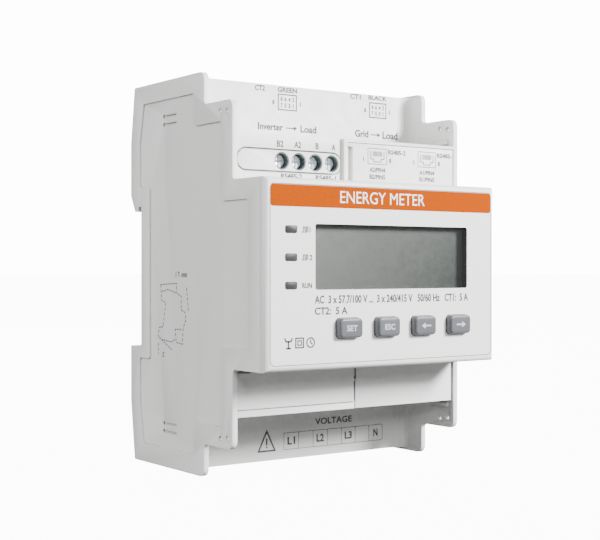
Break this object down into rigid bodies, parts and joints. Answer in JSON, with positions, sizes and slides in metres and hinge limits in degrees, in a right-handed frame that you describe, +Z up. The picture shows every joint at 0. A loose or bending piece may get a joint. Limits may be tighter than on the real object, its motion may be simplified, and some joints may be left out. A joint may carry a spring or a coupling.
{
  "type": "smart electric meter",
  "caption": "Rail-mounted three-phase electricity meter with display, four keys, screw terminals under hinged flaps, data jacks and sockets for current transformers.",
  "frame": {"origin": "middle of the face that seats on the mounting rail", "axes": "+X right seen from the front, +Y back towards the rail, +Z up; the display faces -Y"},
  "size_m": [0.072, 0.0673, 0.1],
  "materials": {
    "casing_plastic": "fine matte moulded texture",
    "bezel_plastic": "smooth satin",
    "printed_label": "printed film, satin",
    "clear_window": "clear polished",
    "black_plastic": "satin",
    "display_glass": "grey-green display",
    "backlight": "white diffuser",
    "indicator_lens": "smoked, satin",
    "key_plastic": "satin grey",
    "plunger_plastic": "satin",
    "switch_steel": "pressed sheet",
    "circuit_board": "solder resist",
    "zinc_steel": "zinc plated",
    "terminal_plastic": "satin",
    "plated_brass": "bright plated",
    "gold_contact": "polished",
    "green_plastic": "satin",
    "clip_plastic": "satin",
    "spring_steel": "drawn wire",
    "transformer_core": "laminated core with taped winding",
    "capacitor_sleeve": "shrink sleeve",
    "varistor_coat": "dipped epoxy",
    "chip_epoxy": "moulded",
    "battery_steel": "polished can"
  },
  "bodies": {
    "casing": {"main_housing": "casing_plastic", "back_cover": "casing_plastic", "comms_cover": "casing_plastic", "front_bezel": "bezel_plastic", "front_label": "printed_label", "lcd_window": "clear_window", "lcd_frame": "black_plastic", "board_headers": "black_plastic", "data_jacks": "black_plastic", "ct_socket_black": "black_plastic", "lcd_glass": "display_glass", "lcd_backlight": "backlight", "indicator_lenses": "indicator_lens", "indicator_leds": "indicator_lens", "key_switches": "switch_steel", "display_board": "circuit_board", "main_board": "circuit_board", "comms_board": "circuit_board", "board_screws": "zinc_steel", "housing_screws": "zinc_steel", "voltage_terminal_block": "terminal_plastic", "data_terminal_block": "terminal_plastic", "voltage_busbars": "plated_brass", "data_busbars": "plated_brass", "jack_contacts": "gold_contact", "ct_pins": "gold_contact", "ct_socket_green": "green_plastic", "clip_spring": "spring_steel", "power_transformer": "transformer_core", "capacitors": "capacitor_sleeve", "varistors": "varistor_coat", "board_chips": "chip_epoxy", "backup_battery": "battery_steel"},
    "set_button": {"set_key": "key_plastic", "set_plunger": "plunger_plastic"},
    "escape_button": {"escape_key": "key_plastic", "escape_plunger": "plunger_plastic"},
    "left_button": {"left_key": "key_plastic", "left_plunger": "plunger_plastic"},
    "right_button": {"right_key": "key_plastic", "right_plunger": "plunger_plastic"},
    "left_flap": {"left_terminal_flap": "casing_plastic"},
    "right_flap": {"right_terminal_flap": "casing_plastic"},
    "clip": {"rail_clip": "clip_plastic"},
    "voltage_screw_body_1": {"voltage_screw_1": "zinc_steel"},
    "voltage_cage_body_1": {"voltage_cage_1": "plated_brass"},
    "voltage_screw_body_2": {"voltage_screw_2": "zinc_steel"},
    "voltage_cage_body_2": {"voltage_cage_2": "plated_brass"},
    "voltage_screw_body_3": {"voltage_screw_3": "zinc_steel"},
    "voltage_cage_body_3": {"voltage_cage_3": "plated_brass"},
    "voltage_screw_body_4": {"voltage_screw_4": "zinc_steel"},
    "voltage_cage_body_4": {"voltage_cage_4": "plated_brass"},
    "data_screw_body_1": {"data_screw_1": "zinc_steel"},
    "data_cage_body_1": {"data_cage_1": "plated_brass"},
    "data_screw_body_2": {"data_screw_2": "zinc_steel"},
    "data_cage_body_2": {"data_cage_2": "plated_brass"},
    "data_screw_body_3": {"data_screw_3": "zinc_steel"},
    "data_cage_body_3": {"data_cage_3": "plated_brass"},
    "data_screw_body_4": {"data_screw_4": "zinc_steel"},
    "data_cage_body_4": {"data_cage_4": "plated_brass"}
  },
  "joints": [
    {"name": "set_press", "type": "slide", "parent": "casing", "child": "set_button", "axis": [0, 1, 0], "range_m": [0, 0.0005], "stiffness_N_per_m": 600, "springref_m": -0.001},
    {"name": "escape_press", "type": "slide", "parent": "casing", "child": "escape_button", "axis": [0, 1, 0], "range_m": [0, 0.0005], "stiffness_N_per_m": 600, "springref_m": -0.001},
    {"name": "left_press", "type": "slide", "parent": "casing", "child": "left_button", "axis": [0, 1, 0], "range_m": [0, 0.0005], "stiffness_N_per_m": 600, "springref_m": -0.001},
    {"name": "right_press", "type": "slide", "parent": "casing", "child": "right_button", "axis": [0, 1, 0], "range_m": [0, 0.0005], "stiffness_N_per_m": 600, "springref_m": -0.001},
    {"name": "left_flap_hinge", "type": "hinge", "parent": "casing", "child": "left_flap", "pos_m": [0, -0.044, -0.0249], "axis": [-1, 0, 0], "range_deg": [0, 88]},
    {"name": "right_flap_hinge", "type": "hinge", "parent": "casing", "child": "right_flap", "pos_m": [0, -0.044, -0.0249], "axis": [-1, 0, 0], "range_deg": [0, 88]},
    {"name": "clip_slide", "type": "slide", "parent": "casing", "child": "clip", "axis": [0, 0, -1], "range_m": [0, 0.004], "stiffness_N_per_m": 1500, "springref_m": -0.002, "deforming": ["clip_spring"]},
    {"name": "voltage_screw_turn_1", "type": "hinge", "parent": "casing", "child": "voltage_screw_body_1", "pos_m": [-0.00375, -0.04, -0.0282], "axis": [0, 1, 0], "range_deg": [0, 2070]},
    {"name": "voltage_cage_rise_1", "type": "slide", "parent": "casing", "child": "voltage_cage_body_1", "axis": [0, -1, 0], "range_m": [0, 0.00287]},
    {"name": "voltage_screw_turn_2", "type": "hinge", "parent": "casing", "child": "voltage_screw_body_2", "pos_m": [0.00595, -0.04, -0.0282], "axis": [0, 1, 0], "range_deg": [0, 2070]},
    {"name": "voltage_cage_rise_2", "type": "slide", "parent": "casing", "child": "voltage_cage_body_2", "axis": [0, -1, 0], "range_m": [0, 0.00287]},
    {"name": "voltage_screw_turn_3", "type": "hinge", "parent": "casing", "child": "voltage_screw_body_3", "pos_m": [0.01565, -0.04, -0.0282], "axis": [0, 1, 0], "range_deg": [0, 2070]},
    {"name": "voltage_cage_rise_3", "type": "slide", "parent": "casing", "child": "voltage_cage_body_3", "axis": [0, -1, 0], "range_m": [0, 0.00287]},
    {"name": "voltage_screw_turn_4", "type": "hinge", "parent": "casing", "child": "voltage_screw_body_4", "pos_m": [0.02535, -0.04, -0.0282], "axis": [0, 1, 0], "range_deg": [0, 2070]},
    {"name": "voltage_cage_rise_4", "type": "slide", "parent": "casing", "child": "voltage_cage_body_4", "axis": [0, -1, 0], "range_m": [0, 0.00287]},
    {"name": "data_screw_turn_1", "type": "hinge", "parent": "casing", "child": "data_screw_body_1", "pos_m": [-0.0214, -0.04, 0.02775], "axis": [0, 1, 0], "range_deg": [0, 1840]},
    {"name": "data_cage_rise_1", "type": "slide", "parent": "casing", "child": "data_cage_body_1", "axis": [0, -1, 0], "range_m": [0, 0.00229]},
    {"name": "data_screw_turn_2", "type": "hinge", "parent": "casing", "child": "data_screw_body_2", "pos_m": [-0.01632, -0.04, 0.02775], "axis": [0, 1, 0], "range_deg": [0, 1840]},
    {"name": "data_cage_rise_2", "type": "slide", "parent": "casing", "child": "data_cage_body_2", "axis": [0, -1, 0], "range_m": [0, 0.00229]},
    {"name": "data_screw_turn_3", "type": "hinge", "parent": "casing", "child": "data_screw_body_3", "pos_m": [-0.01124, -0.04, 0.02775], "axis": [0, 1, 0], "range_deg": [0, 1840]},
    {"name": "data_cage_rise_3", "type": "slide", "parent": "casing", "child": "data_cage_body_3", "axis": [0, -1, 0], "range_m": [0, 0.00229]},
    {"name": "data_screw_turn_4", "type": "hinge", "parent": "casing", "child": "data_screw_body_4", "pos_m": [-0.00616, -0.04, 0.02775], "axis": [0, 1, 0], "range_deg": [0, 1840]},
    {"name": "data_cage_rise_4", "type": "slide", "parent": "casing", "child": "data_cage_body_4", "axis": [0, -1, 0], "range_m": [0, 0.00229]}
  ],
  "couplings": [
    {"joint": "voltage_screw_turn_1", "follows": "voltage_cage_rise_1", "rad_per_m": 12566},
    {"joint": "voltage_screw_turn_2", "follows": "voltage_cage_rise_2", "rad_per_m": 12566},
    {"joint": "voltage_screw_turn_3", "follows": "voltage_cage_rise_3", "rad_per_m": 12566},
    {"joint": "voltage_screw_turn_4", "follows": "voltage_cage_rise_4", "rad_per_m": 12566},
    {"joint": "data_screw_turn_1", "follows": "data_cage_rise_1", "rad_per_m": 13963},
    {"joint": "data_screw_turn_2", "follows": "data_cage_rise_2", "rad_per_m": 13963},
    {"joint": "data_screw_turn_3", "follows": "data_cage_rise_3", "rad_per_m": 13963},
    {"joint": "data_screw_turn_4", "follows": "data_cage_rise_4", "rad_per_m": 13963}
  ]
}
